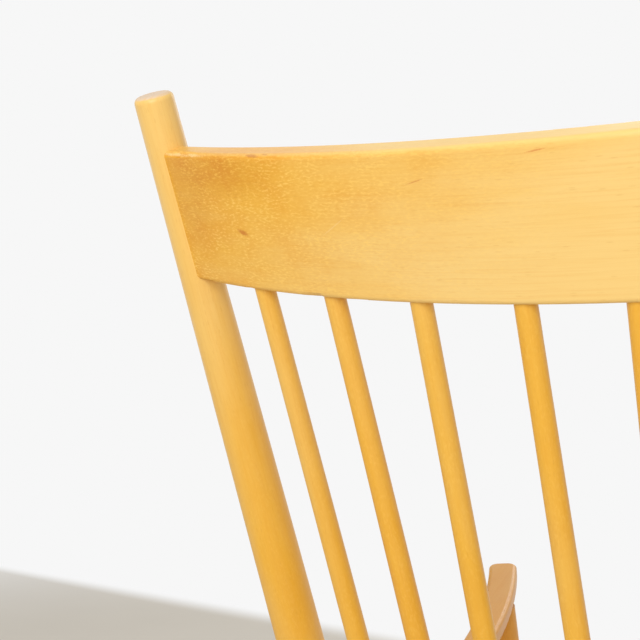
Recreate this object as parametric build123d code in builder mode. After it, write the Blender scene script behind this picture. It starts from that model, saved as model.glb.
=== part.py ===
from build123d import *
import os
from math import asin, cos, radians, sin, sqrt, tan

# Rocking chair in beech with a spindle back and a woven paper-cord seat.
# Frame: millimetres, +Z up, the sitter faces -Y and +X is the sitter's left. Z = 0 is the floor
# under the runners, Y = 0 is halfway between the runner tips, and the chair is symmetric in X.

# ---- Driving dimensions -------------------------------------------------------------------

DEPTH = 905.0  # runner tip to runner tip
HEIGHT = 1070.0  # floor to the middle of the post tops

# Back frame: "across" is along X, "behind" is rearward at right angles to the back, and "up" is
# along the leaning back. Its origin is the middle of the crest rail's rear bottom edge.
BACK_LEAN = 23.07  # degrees from upright
BACK_ORIGIN_Y = 355.5
POST_HALF_SPACING = 264.4  # post axis from the middle, halfway up the crest rail
POST_SPLAY = 0.3  # degrees outward going up
POST_AHEAD = 59.2  # post axis ahead of the back frame's origin
POST_TOP_UP = 129.4
POST_TOP_RADIUS = 13.5
POST_RAIL_RADIUS = 15.1  # at the crest rail's bottom edge
POST_BELLY_RADIUS = 20.2
POST_BELLY_UP = -510.0  # between the lower back rail and the seat
POST_FOOT_RADIUS = 16.0
POST_TOP_ROUNDING = 4.5

CREST_HEIGHT = 92.4
CREST_THICKNESS = 15.5  # at the posts
CREST_SWELL = 5.5  # extra thickness in the middle
CREST_SAGITTA = 49.0  # of the rear face, over the post spacing
CREST_ARRIS = 3.6
TENON_THICKNESS = 9.0
TENON_SHOULDER = 11.0  # the tenon is this much lower than its rail, top and bottom
TENON_PAST_AXIS = 5.0

LOWER_RAIL_TOP_UP = -463.0
LOWER_RAIL_HEIGHT = 42.0
LOWER_RAIL_THICKNESS = 18.0
LOWER_RAIL_SAGITTA = 63.8  # of the middle line
LOWER_RAIL_BEHIND = 5.0  # middle line, at the middle of the rail
LOWER_RAIL_ARRIS = 2.0

SPINDLE_AHEAD = 9.5  # spindle tops, ahead of the crest rail's rear face
SPINDLE_PITCH_TOP = 64.85
SPINDLE_PITCH_FOOT = 57.84
# Small hand-made shifts from an even pitch, from spindle 1 on the sitter's left to spindle 7.
SPINDLE_SHIFT_TOP = (-1.0, 1.1, 0.8, -1.1, 0.6, -0.9, 0.7)
SPINDLE_SHIFT_FOOT = (0.2, -3.1, 5.6, -2.0, 1.5, -1.0, 0.4)
SPINDLE_TOP_RADIUS = 6.75
SPINDLE_BELLY_RADIUS = 8.1
SPINDLE_FOOT_RADIUS = 7.6
SPINDLE_TENON_RADIUS = 5.5
SPINDLE_TENON_LENGTH = 20.0
SPINDLE_SEATING = 0.9  # the full spindle enters its rail by this much

SEAT_HEIGHT = 420.0  # top of the weave over the front rail
SEAT_SLOPE = 5.3  # degrees down to the rear
SEAT_RAIL_RADIUS = 12.0
SIDE_RAIL_RADIUS = 11.0
SIDE_RAIL_DROP = 14.5  # side rails below the front and rear rails
SEAT_TENON_RADIUS = 6.8
CORD_LAYER = 4.0  # weave over, under and around a rail
SEAT_CROWN_WIDTH = 90.0  # from a side rail to the level part of the weave
SEAT_BELLY_RUN = 60.0  # from the front or rear rail to the deepest part of the weave
LEG_NOTCH = 20.0  # weave's corner notch from the leg's axis
POST_NOTCH = (23.5, 33.0)  # from the post's axis, across and ahead

LEG_TOP_X = 295.5  # axis at the arm's underside
LEG_TOP_Y = -284.0
LEG_LEAN = 6.5  # degrees forward going down
LEG_RUNNER_HEIGHT = 85.0  # where the leg's axis meets the runner's middle plane
FOOT_CLEARANCE = 9.0  # leg and post feet above the runner's underside
LEG_TOP_RADIUS = 14.6
LEG_SEAT_RADIUS = 17.0
LEG_FOOT_RADIUS = 15.0
LEG_TENON_RADIUS = 9.0
LEG_TENON_LENGTH = 13.0

ARM_TIP = (330.0, -362.5, 616.5)  # middle of the front end, top face
ARM_SLOPE = 9.5  # degrees, rising to the front
ARM_TIP_FLARE = 24.2  # degrees outward at the tip
ARM_THICKNESS = 18.0
ARM_WIDTH_FRONT = 33.0
ARM_WIDTH_REAR = 27.0
ARM_TIP_ROUNDING = 11.0
ARM_EDGE_ROUNDING = 4.5
ARM_TENON_RADIUS = 6.0
ARM_TENON_REACH = 0.09  # of the arm's length, from the post's axis

RUNNER_RADIUS = 1100.0
CONTACT_Y = -21.6  # where the runners touch the floor, under the centre of mass
RUNNER_THICKNESS = 17.0
RUNNER_HEIGHT = 46.0
RUNNER_TIP_HEIGHT = 30.0
RUNNER_EDGE_ROUNDING = 3.0

FRONT_STRETCHER_HEIGHTS = {"upper": 292.0, "lower": 198.0}
SIDE_STRETCHER_HEIGHTS = {"upper": 262.0, "lower": 158.0}  # at the front leg
SIDE_STRETCHER_DROP = 14.0  # lower at the rear than at the front
REAR_STRETCHER_HEIGHT = 214.0
STRETCHER_TENON_RADIUS = 6.2
STRETCHER_BELLY_RADIUS = 9.4
TENON_GAP_TO_AXIS = 1.0

PIN_RADIUS = 3.5
RAIL_PIN_INBOARD = 5.5  # pin's axis inboard of half the post spacing
CREST_PIN_UP = (28.0, 64.0)
RUNNER_PIN_HEIGHT = 13.0  # above the foot of the leg or post

SIDES = {"left": 1, "right": -1}
SKEW = Vector(0.3, 0.5, 0.8)  # a direction that no round piece lies along

# ---- Worked-out places --------------------------------------------------------------------

LEAN_SIN = sin(radians(BACK_LEAN))
LEAN_COS = cos(radians(BACK_LEAN))
BACK_ORIGIN_Z = HEIGHT - POST_TOP_UP * LEAN_COS - POST_AHEAD * LEAN_SIN
BACK = Plane(
    origin=(0, BACK_ORIGIN_Y, BACK_ORIGIN_Z), x_dir=(1, 0, 0), z_dir=(0, LEAN_SIN, LEAN_COS)
)
ARM_FACE = Plane(
    origin=(0, ARM_TIP[1], ARM_TIP[2]),
    x_dir=(1, 0, 0),
    z_dir=(0, sin(radians(ARM_SLOPE)), cos(radians(ARM_SLOPE))),
)
ARM_UNDERSIDE = ARM_FACE.offset(-ARM_THICKNESS)
LEG_TOP_HEIGHT = ARM_UNDERSIDE.origin.Z - tan(radians(ARM_SLOPE)) * (
    LEG_TOP_Y - ARM_UNDERSIDE.origin.Y
)
FRONT_RAIL_HEIGHT = SEAT_HEIGHT - CORD_LAYER - SEAT_RAIL_RADIUS


def on_back(across, ahead, up):
    """A point given in the back frame, with ahead towards the sitter."""
    return BACK.from_local_coords(Vector(across, -ahead, up))


def post_axis(side, up):
    """The post's axis at a distance up the back."""
    across = POST_HALF_SPACING + tan(radians(POST_SPLAY)) * (up - CREST_HEIGHT / 2)
    return on_back(side * across, POST_AHEAD, up)


def post_at(side, height):
    """The post's axis at a height over the floor."""
    up = (height - BACK_ORIGIN_Z - POST_AHEAD * LEAN_SIN) / LEAN_COS
    return post_axis(side, up)


RUNNER_X = post_at(1, RUNNER_HEIGHT / 2).X
LEG_INWARD = (LEG_TOP_X - RUNNER_X) / (LEG_TOP_HEIGHT - LEG_RUNNER_HEIGHT)


def leg_at(side, height):
    """The front leg's axis at a height over the floor."""
    drop = LEG_TOP_HEIGHT - height
    across = LEG_TOP_X - LEG_INWARD * drop
    return Vector(side * across, LEG_TOP_Y - tan(radians(LEG_LEAN)) * drop, height)


def arc_radius(half_span, sagitta):
    """The radius of an arc with this half span and sagitta."""
    return (half_span**2 + sagitta**2) / (2 * sagitta)


def arc_depth(radius, across):
    """How far an arc has fallen back from its middle, at a distance across."""
    return radius - sqrt(radius**2 - across**2)


def foot_of(axis_at):
    """The foot of a leg or post, a little above the runner's underside."""
    foot = axis_at(1, FOOT_CLEARANCE)
    for _ in range(6):
        rise = arc_depth(RUNNER_RADIUS, foot.Y - CONTACT_Y)
        foot = axis_at(1, rise + FOOT_CLEARANCE)
    return foot


CREST_MIDDLE_RADIUS = arc_radius(POST_HALF_SPACING, CREST_SAGITTA) - CREST_THICKNESS / 2
LOWER_RAIL_RADIUS = arc_radius(POST_HALF_SPACING, LOWER_RAIL_SAGITTA)
SEAT_DEPTH = post_at(1, FRONT_RAIL_HEIGHT - 34).Y - leg_at(1, FRONT_RAIL_HEIGHT).Y
REAR_RAIL_HEIGHT = FRONT_RAIL_HEIGHT - tan(radians(SEAT_SLOPE)) * SEAT_DEPTH
SEAT = Plane(
    origin=(0, leg_at(1, FRONT_RAIL_HEIGHT).Y, FRONT_RAIL_HEIGHT),
    x_dir=(1, 0, 0),
    z_dir=(0, sin(radians(SEAT_SLOPE)), cos(radians(SEAT_SLOPE))),
)

# ---- Shapes used for several pieces -------------------------------------------------------


def turned(start, end, stations, smooth=True, rounding=0.0):
    """A round solid whose axis runs from start to end.

    stations are (distance from start, radius) pairs, joined by one smooth curve or by straight
    lines. rounding rounds the rim of the start's end face.
    """
    along = (end - start).normalized()
    profile = Plane(origin=start, x_dir=along, z_dir=along.cross(SKEW).normalized())
    first, last = stations[0], stations[-1]
    with BuildPart() as bar:
        with BuildSketch(profile):
            with BuildLine():
                if smooth:
                    Spline(*stations)
                else:
                    Polyline(*stations)
                Polyline(last, (last[0], 0), (first[0], 0), first)
            make_face()
            if rounding:
                rim = vertices().group_by(Axis.X)[0].sort_by(Axis.Y)[-1]
                fillet(rim, rounding)
        revolve(axis=Axis(start, along))
    return bar.part


def peg(start, end, radius):
    """A plain round peg from start to end."""
    return turned(start, end, ((0, radius), ((end - start).length, radius)), smooth=False)


def rung(start, end):
    """A stretcher that swells from its tenons to its belly."""
    length = (end - start).length
    tenon, belly = STRETCHER_TENON_RADIUS, STRETCHER_BELLY_RADIUS
    quarter = tenon + 0.75 * (belly - tenon)
    stations = (
        (0, tenon),
        (0.06 * length, tenon + 0.1),
        (0.25 * length, quarter),
        (0.5 * length, belly),
        (0.75 * length, quarter),
        (0.94 * length, tenon + 0.1),
        (length, tenon),
    )
    return turned(start, end, stations)


def seat_rail(start, end, radius, start_shoulder, end_shoulder):
    """A round rail with a smaller round tenon at each end."""
    length = (end - start).length
    stations = (
        (0, SEAT_TENON_RADIUS),
        (start_shoulder, SEAT_TENON_RADIUS),
        (start_shoulder, radius),
        (length - end_shoulder, radius),
        (length - end_shoulder, SEAT_TENON_RADIUS),
        (length, SEAT_TENON_RADIUS),
    )
    return turned(start, end, stations, smooth=False)


def between(first, second):
    """The ends of a rung that stops just short of two legs' axes."""
    inset = (second - first).normalized() * TENON_GAP_TO_AXIS
    return first + inset, second - inset


def bent_board(middle_radius, thickness, ahead, half_span, bottom, top, swell=0.0):
    """A board bent with its hollow side to the sitter, its middle line ahead of the back frame's
    origin by that much, cut off square at the half span.

    swell makes the middle thicker than the ends, on the hollow side.
    """
    hollow_sagitta = arc_depth(middle_radius - thickness / 2, half_span) - swell
    hollow_radius = arc_radius(half_span, hollow_sagitta)
    with BuildPart() as board:
        with BuildSketch(BACK.offset(bottom)):
            with Locations((0, -ahead - middle_radius)):
                Circle(middle_radius + thickness / 2)
            with Locations((0, -ahead - thickness / 2 - swell - hollow_radius)):
                Circle(hollow_radius, mode=Mode.SUBTRACT)
            with Locations((0, -ahead)):
                Rectangle(2 * half_span, middle_radius, mode=Mode.INTERSECT)
        extrude(amount=top - bottom)
    return board.part


def arm_edge(t, edge):
    """A point of the arm's outline in its face: t runs from 0 at the post to 1 at the tip, and
    edge from -1 at the inner edge to 1 at the outer one."""
    rear = post_at(1, ARM_REAR_HEIGHT)
    start = Vector(rear.X, (rear.Y - ARM_TIP[1]) / cos(radians(ARM_SLOPE)))
    chord = Vector(ARM_TIP[0], 0) - start
    flare = radians(ARM_TIP_FLARE)
    half_turn = flare - asin(chord.X / chord.length)
    radius = chord.length / (2 * sin(half_turn))
    angle = flare - 2 * half_turn * (1 - t)
    half_width = (ARM_WIDTH_REAR + (ARM_WIDTH_FRONT - ARM_WIDTH_REAR) * t) / 2
    centre = Vector(ARM_TIP[0] + radius * cos(flare), radius * sin(flare))
    reach = radius - edge * half_width
    return (centre.X - reach * cos(angle), centre.Y - reach * sin(angle))


def rear_height_of_arm():
    """The height of the arm's middle where it meets the post's axis."""
    height = ARM_TIP[2]
    for _ in range(6):
        run = post_at(1, height).Y - ARM_TIP[1]
        height = ARM_TIP[2] - ARM_THICKNESS / 2 - tan(radians(ARM_SLOPE)) * run
    return height


ARM_REAR_HEIGHT = rear_height_of_arm()

# ---- Blanks, before their joints are cut --------------------------------------------------


def post_blank(side):
    """The back post, straight, thickest between the back and the seat."""
    top, foot = post_axis(side, POST_TOP_UP), post_at(side, foot_of(post_at).Z)
    length = (foot - top).length
    stations = (
        (0, POST_TOP_RADIUS),
        (POST_TOP_UP, POST_RAIL_RADIUS),
        (POST_TOP_UP - 0.6 * POST_BELLY_UP, 0.3 * POST_RAIL_RADIUS + 0.7 * POST_BELLY_RADIUS),
        (POST_TOP_UP - POST_BELLY_UP, POST_BELLY_RADIUS),
        (length, POST_FOOT_RADIUS),
    )
    return turned(top, foot, stations, rounding=POST_TOP_ROUNDING)


def leg_blank(side):
    """The front leg, cut off by the arm's underside, with its round tenon."""
    axis_top, foot = leg_at(side, LEG_TOP_HEIGHT), leg_at(side, foot_of(leg_at).Z)
    along = (foot - axis_top).normalized()
    top = axis_top - along * LEG_TOP_RADIUS
    length = (foot - top).length
    stations = (
        (0, LEG_TOP_RADIUS - 0.2),
        (0.2 * length, LEG_TOP_RADIUS + 0.7),
        (0.45 * length, LEG_SEAT_RADIUS),
        (length, LEG_FOOT_RADIUS),
    )
    tenon = peg(axis_top - along * LEG_TENON_LENGTH, axis_top + along * 20, LEG_TENON_RADIUS)
    with BuildPart() as leg:
        add(turned(top, foot, stations))
        split(bisect_by=ARM_UNDERSIDE, keep=Keep.BOTTOM)
        add(tenon)
    return leg.part


def runner_blank(side):
    """The runner, an upright board along an arc, deepest near the contact point."""
    end_radius = RUNNER_TIP_HEIGHT / 2
    middle_radius = RUNNER_RADIUS - end_radius

    def at(radius, angle):
        return (CONTACT_Y + radius * sin(angle), RUNNER_RADIUS - radius * cos(angle))

    front = -asin((DEPTH / 2 + CONTACT_Y - end_radius) / middle_radius)
    rear = asin((DEPTH / 2 - CONTACT_Y - end_radius) / middle_radius)
    middle = (front + rear) / 2
    inner = RUNNER_RADIUS - RUNNER_TIP_HEIGHT
    front_nose = (
        at(middle_radius, front)[0] - end_radius * cos(front),
        at(middle_radius, front)[1] - end_radius * sin(front),
    )
    rear_nose = (
        at(middle_radius, rear)[0] + end_radius * cos(rear),
        at(middle_radius, rear)[1] + end_radius * sin(rear),
    )
    with BuildPart() as runner:
        start_x = side * RUNNER_X - RUNNER_THICKNESS / 2
        with BuildSketch(Plane.YZ.offset(start_x)):
            with BuildLine():
                ThreePointArc(at(RUNNER_RADIUS, front), at(RUNNER_RADIUS, 0), at(RUNNER_RADIUS, rear))
                ThreePointArc(at(RUNNER_RADIUS, rear), rear_nose, at(inner, rear))
                ThreePointArc(
                    at(inner, rear), at(RUNNER_RADIUS - RUNNER_HEIGHT, middle), at(inner, front)
                )
                ThreePointArc(at(inner, front), front_nose, at(RUNNER_RADIUS, front))
            make_face()
        extrude(amount=RUNNER_THICKNESS)
        rims = faces().filter_by(Axis.X).edges()
        fillet(rims, RUNNER_EDGE_ROUNDING)
    return runner.part


def arm_blank(side):
    """The arm board, curved outward, running on into the post at its rear."""
    with BuildPart() as arm:
        with BuildSketch(ARM_UNDERSIDE):
            with BuildLine():
                edges_of_arm = [[arm_edge(t, edge) for t in (0, 0.5, 1)] for edge in (-1, 1)]
                for points in edges_of_arm:
                    ThreePointArc(*[(side * x, y) for x, y in points])
                for i in (0, 2):
                    ends = [(side * points[i][0], points[i][1]) for points in edges_of_arm]
                    Line(*ends)
            make_face()
            fillet(vertices().sort_by(Axis.Y)[:2], ARM_TIP_ROUNDING)
        extrude(amount=ARM_THICKNESS)
        rims = faces().sort_by(Axis(ARM_FACE.origin, ARM_FACE.z_dir))
        all_but_rear = (rims[0].edges() + rims[-1].edges()).sort_by(Axis.Y)[:-2]
        fillet(all_but_rear, ARM_EDGE_ROUNDING)
    return arm.part


def crest_blank():
    """The crest rail with square ends, its long edges eased."""
    size = (CREST_MIDDLE_RADIUS, CREST_THICKNESS, CREST_THICKNESS / 2)
    with BuildPart() as rail:
        add(bent_board(*size, POST_HALF_SPACING, 0, CREST_HEIGHT, CREST_SWELL))
        long_edges = edges().filter_by(lambda edge: edge.length > POST_HALF_SPACING)
        fillet(long_edges, CREST_ARRIS)
    return rail.part


def lower_rail_blank():
    """The lower back rail with square ends, its long edges eased."""
    bottom = LOWER_RAIL_TOP_UP - LOWER_RAIL_HEIGHT
    size = (LOWER_RAIL_RADIUS, LOWER_RAIL_THICKNESS, -LOWER_RAIL_BEHIND)
    with BuildPart() as rail:
        add(bent_board(*size, POST_HALF_SPACING - 3, bottom, LOWER_RAIL_TOP_UP))
        long_edges = edges().filter_by(lambda edge: edge.length > POST_HALF_SPACING)
        fillet(long_edges, LOWER_RAIL_ARRIS)
    return rail.part


def spindle_blank(number):
    """Spindle 0 to 6, from the sitter's left, with a round tenon at each end."""
    steps = 3 - number
    across_top = steps * SPINDLE_PITCH_TOP + SPINDLE_SHIFT_TOP[number]
    across_foot = steps * SPINDLE_PITCH_FOOT + SPINDLE_SHIFT_FOOT[number]
    ahead_top = SPINDLE_AHEAD + arc_depth(CREST_MIDDLE_RADIUS, across_top)
    ahead_foot = arc_depth(LOWER_RAIL_RADIUS, across_foot) - LOWER_RAIL_BEHIND
    top = on_back(across_top, ahead_top, 0)
    foot = on_back(across_foot, ahead_foot, LOWER_RAIL_TOP_UP)
    along = (foot - top).normalized()
    length = (foot - top).length + 2 * SPINDLE_SEATING
    stations = (
        (0, SPINDLE_TOP_RADIUS),
        (0.35 * length, 0.45 * SPINDLE_TOP_RADIUS + 0.55 * SPINDLE_BELLY_RADIUS),
        (0.75 * length, SPINDLE_BELLY_RADIUS),
        (length, SPINDLE_FOOT_RADIUS),
    )
    tenon = along * SPINDLE_TENON_LENGTH
    seating = along * SPINDLE_SEATING
    with BuildPart() as spindle:
        add(turned(top - seating, foot + seating, stations))
        add(peg(top - tenon, foot + tenon, SPINDLE_TENON_RADIUS))
    return spindle.part


# ---- Blanks of every piece that others are cut to -----------------------------------------

post_blanks = {name: post_blank(side) for name, side in SIDES.items()}
leg_blanks = {name: leg_blank(side) for name, side in SIDES.items()}
runner_blanks = {name: runner_blank(side) for name, side in SIDES.items()}
spindles = [spindle_blank(number) for number in range(len(SPINDLE_SHIFT_TOP))]


def side_rungs(name, side):
    """The side seat rail and the two side stretchers of one side."""
    rail_ends = between(
        leg_at(side, FRONT_RAIL_HEIGHT - SIDE_RAIL_DROP),
        post_at(side, REAR_RAIL_HEIGHT - SIDE_RAIL_DROP),
    )
    shoulders = (LEG_SEAT_RADIUS - 2, POST_BELLY_RADIUS - 1)
    rungs = {f"seat_rail_{name}": seat_rail(*rail_ends, SIDE_RAIL_RADIUS, *shoulders)}
    for level, height in SIDE_STRETCHER_HEIGHTS.items():
        ends = between(leg_at(side, height), post_at(side, height - SIDE_STRETCHER_DROP))
        rungs[f"side_stretcher_{name}_{level}"] = rung(*ends)
    return rungs


def cross_rail(axis_at, height, shoulder):
    """A seat rail between two legs or two posts."""
    ends = between(axis_at(-1, height), axis_at(1, height))
    return seat_rail(*ends, SEAT_RAIL_RADIUS, shoulder, shoulder)


rungs_of_side = {name: side_rungs(name, side) for name, side in SIDES.items()}
front_rungs = {"seat_rail_front": cross_rail(leg_at, FRONT_RAIL_HEIGHT, LEG_SEAT_RADIUS - 2)}
rear_rungs = {"seat_rail_rear": cross_rail(post_at, REAR_RAIL_HEIGHT, POST_BELLY_RADIUS - 2)}
for level, height in FRONT_STRETCHER_HEIGHTS.items():
    ends = between(leg_at(-1, height), leg_at(1, height))
    front_rungs[f"front_stretcher_{level}"] = rung(*ends)
rear_ends = between(post_at(-1, REAR_STRETCHER_HEIGHT), post_at(1, REAR_STRETCHER_HEIGHT))
rear_rungs["rear_stretcher"] = rung(*rear_ends)


def save(piece, name):
    """Label a piece and write it to its own file."""
    piece.part.label = name
    export_step(piece.part, f"parts/{name}.step")


os.makedirs("parts", exist_ok=True)

# ---- Wooden pins, flush with the round pieces that they are driven into --------------------

both_posts = post_blanks["left"] + post_blanks["right"]


def rail_pins(ups, depth):
    """Pins from the fronts of the posts, through a rail's tenons."""
    with BuildPart() as pins:
        for side in SIDES.values():
            for up in ups:
                across = side * (POST_HALF_SPACING - RAIL_PIN_INBOARD)
                reach = (POST_AHEAD + POST_BELLY_RADIUS + PIN_RADIUS, POST_AHEAD - depth)
                add(peg(*[on_back(across, ahead, up) for ahead in reach], PIN_RADIUS))
        add(both_posts, mode=Mode.INTERSECT)
    return pins.part


with BuildPart() as crest_rail_pins:
    add(rail_pins(CREST_PIN_UP, TENON_THICKNESS))
save(crest_rail_pins, "crest_rail_pins")

with BuildPart() as lower_rail_pins:
    add(rail_pins((LOWER_RAIL_TOP_UP - LOWER_RAIL_HEIGHT / 2 - 2,), TENON_THICKNESS))
save(lower_rail_pins, "lower_rail_pins")

with BuildPart() as runner_pins:
    for axis_at in (leg_at, post_at):
        for side in SIDES.values():
            middle = axis_at(side, foot_of(axis_at).Z + RUNNER_PIN_HEIGHT)
            across = Vector(2 * LEG_SEAT_RADIUS, 0, 0)
            add(peg(middle - across, middle + across, PIN_RADIUS))
    add(both_posts + leg_blanks["left"] + leg_blanks["right"], mode=Mode.INTERSECT)
save(runner_pins, "runner_pins")

# ---- Back: crest rail, lower rail and spindles --------------------------------------------

crest_tenons = bent_board(
    CREST_MIDDLE_RADIUS,
    TENON_THICKNESS,
    CREST_THICKNESS / 2,
    POST_HALF_SPACING + TENON_PAST_AXIS,
    TENON_SHOULDER,
    CREST_HEIGHT - TENON_SHOULDER,
)
lower_tenons = bent_board(
    LOWER_RAIL_RADIUS,
    TENON_THICKNESS,
    -LOWER_RAIL_BEHIND,
    POST_HALF_SPACING,
    LOWER_RAIL_TOP_UP - LOWER_RAIL_HEIGHT + TENON_SHOULDER,
    LOWER_RAIL_TOP_UP - TENON_SHOULDER,
)

with BuildPart() as crest_rail:
    add(crest_blank())
    add(both_posts, mode=Mode.SUBTRACT)
    add(crest_tenons)
    add(spindles + [crest_rail_pins.part], mode=Mode.SUBTRACT)
save(crest_rail, "crest_rail")

with BuildPart() as lower_back_rail:
    add(lower_rail_blank())
    add(both_posts, mode=Mode.SUBTRACT)
    add(lower_tenons)
    add(spindles + [lower_rail_pins.part], mode=Mode.SUBTRACT)
save(lower_back_rail, "lower_back_rail")

for number, blank in enumerate(spindles, start=1):
    with BuildPart() as spindle:
        add(blank)
    save(spindle, f"spindle_{number}")

# ---- Arms ---------------------------------------------------------------------------------


def arm_tenon(side):
    """The round tenon from inside the arm to the post's axis."""
    middle = ARM_FACE.offset(-ARM_THICKNESS / 2)
    centres = [arm_edge(t, 0) for t in (0, ARM_TENON_REACH)]
    ends = [middle.from_local_coords(Vector(side * x, y, 0)) for x, y in centres]
    return peg(*ends, ARM_TENON_RADIUS)


arm_tenons = {name: arm_tenon(side) for name, side in SIDES.items()}

for name, side in SIDES.items():
    with BuildPart() as arm:
        add(arm_blank(side))
        add([post_blanks[name], leg_blanks[name]], mode=Mode.SUBTRACT)
        add(arm_tenons[name])
    save(arm, f"arm_{name}")

# ---- Posts, legs and runners --------------------------------------------------------------

for name, side in SIDES.items():
    with BuildPart() as back_post:
        add(post_blanks[name])
        add([crest_tenons, lower_tenons, arm_tenons[name]], mode=Mode.SUBTRACT)
        add(runner_blanks[name], mode=Mode.SUBTRACT)
        add([*rear_rungs.values(), *rungs_of_side[name].values()], mode=Mode.SUBTRACT)
        pins = [crest_rail_pins.part, lower_rail_pins.part, runner_pins.part]
        add(pins, mode=Mode.SUBTRACT)
    save(back_post, f"back_post_{name}")

    with BuildPart() as front_leg:
        add(leg_blanks[name])
        add([runner_blanks[name], runner_pins.part], mode=Mode.SUBTRACT)
        add([*front_rungs.values(), *rungs_of_side[name].values()], mode=Mode.SUBTRACT)
    save(front_leg, f"front_leg_{name}")

    with BuildPart() as runner:
        add(runner_blanks[name])
        add(runner_pins.part, mode=Mode.SUBTRACT)
    save(runner, f"runner_{name}")

# ---- Seat rails and stretchers ------------------------------------------------------------

for rungs in (front_rungs, rear_rungs, *rungs_of_side.values()):
    for name, blank in rungs.items():
        with BuildPart() as rung_piece:
            add(blank)
        save(rung_piece, name)

# ---- Woven seat ---------------------------------------------------------------------------

seat_length = SEAT_DEPTH / cos(radians(SEAT_SLOPE))
side_rail_height = FRONT_RAIL_HEIGHT - SIDE_RAIL_DROP
front_half = leg_at(1, side_rail_height).X
rear_half = post_at(1, REAR_RAIL_HEIGHT).X
wrap = SEAT_RAIL_RADIUS + CORD_LAYER
side_wrap = SIDE_RAIL_RADIUS + CORD_LAYER
side_top, side_bottom = side_wrap - SIDE_RAIL_DROP, -side_wrap - SIDE_RAIL_DROP
seat_side_view = Plane(origin=SEAT.origin, x_dir=SEAT.y_dir, z_dir=(1, 0, 0))

with BuildPart() as seat_weave:
    for run in (-2 * wrap, seat_length + 2 * wrap):
        half = front_half + (rear_half - front_half) * run / seat_length
        origin = SEAT.origin + SEAT.y_dir * run
        with BuildSketch(Plane(origin=origin, x_dir=(1, 0, 0), z_dir=-SEAT.y_dir)):
            with BuildLine():
                for side in SIDES.values():
                    ThreePointArc(
                        (side * half, side_top),
                        (side * (half + side_wrap), -SIDE_RAIL_DROP),
                        (side * half, side_bottom),
                    )
                Line((-half, side_bottom), (half, side_bottom))
                ridge = side_top + (wrap - side_top) * half / SEAT_CROWN_WIDTH
                Polyline((-half, side_top), (0, ridge), (half, side_top))
            make_face()
    loft()
    with BuildSketch(seat_side_view):
        with BuildLine():
            ThreePointArc((0, wrap), (-wrap, 0), (0, -wrap))
            ThreePointArc((seat_length, wrap), (seat_length + wrap, 0), (seat_length, -wrap))
            Line((0, wrap), (seat_length, wrap))
            Polyline(
                (0, -wrap),
                (SEAT_BELLY_RUN, side_bottom),
                (seat_length - SEAT_BELLY_RUN, side_bottom),
                (seat_length, -wrap),
            )
        make_face()
    extrude(amount=2 * front_half, both=True, mode=Mode.INTERSECT)
    with BuildSketch(SEAT.offset(-4 * wrap)):
        corner = 6 * wrap
        for side in SIDES.values():
            leg_corner = (side * (front_half - LEG_NOTCH + corner / 2), LEG_NOTCH - corner / 2)
            post_corner = (
                side * (rear_half - POST_NOTCH[0] + corner / 2),
                seat_length - POST_NOTCH[1] + corner / 2,
            )
            with Locations(leg_corner, post_corner):
                Rectangle(corner, corner)
    extrude(amount=8 * wrap, mode=Mode.SUBTRACT)
    seat_rails = [front_rungs["seat_rail_front"], rear_rungs["seat_rail_rear"]]
    seat_rails += [rungs_of_side[name][f"seat_rail_{name}"] for name in SIDES]
    add(seat_rails, mode=Mode.SUBTRACT)
save(seat_weave, "seat_weave")
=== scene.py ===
import logging
import math
from dataclasses import dataclass, field
from enum import Enum

import bmesh
import bpy
from mathutils import Matrix, Vector, noise


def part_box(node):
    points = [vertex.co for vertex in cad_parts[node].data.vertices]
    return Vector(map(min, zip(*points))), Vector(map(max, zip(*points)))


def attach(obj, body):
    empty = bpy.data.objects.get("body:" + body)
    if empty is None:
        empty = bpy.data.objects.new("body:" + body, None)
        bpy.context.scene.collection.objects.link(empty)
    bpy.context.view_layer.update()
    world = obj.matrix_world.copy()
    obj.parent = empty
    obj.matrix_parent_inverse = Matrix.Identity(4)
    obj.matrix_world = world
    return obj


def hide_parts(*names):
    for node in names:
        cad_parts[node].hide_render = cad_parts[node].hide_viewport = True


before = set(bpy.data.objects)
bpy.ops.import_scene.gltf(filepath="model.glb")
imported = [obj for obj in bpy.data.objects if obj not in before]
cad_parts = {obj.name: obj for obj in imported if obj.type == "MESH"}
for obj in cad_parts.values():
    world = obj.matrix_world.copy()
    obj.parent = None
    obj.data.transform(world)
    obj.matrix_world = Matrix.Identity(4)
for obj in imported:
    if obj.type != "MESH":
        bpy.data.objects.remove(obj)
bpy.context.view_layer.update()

log = logging.getLogger("rocking_chair")

Socket = bpy.types.NodeSocket
BMesh = bmesh.types.BMesh
Pair = tuple[float, float]
Triple = tuple[float, float, float]
Seam = tuple[Vector, Vector]
MM = 0.001
WHITE = (1.0, 1.0, 1.0)


def add_object(name: str, data: bpy.types.ID) -> bpy.types.Object:
    """Puts a new object in the scene.

    Args:
        name: its name.
        data: its mesh, lamp or camera.

    Returns:
        The object.
    """
    made = bpy.data.objects.new(name, data)
    bpy.context.scene.collection.objects.link(made)
    return made


@dataclass(frozen=True)
class Grit:
    """How fine a pattern is per metre, along and across the grain, and how strongly it shows."""

    along: float
    across: float
    strength: float = 1.0

    def scale(self) -> Triple:
        """How fine it is along, across and deep."""
        return self.along, self.across, self.across


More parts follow.
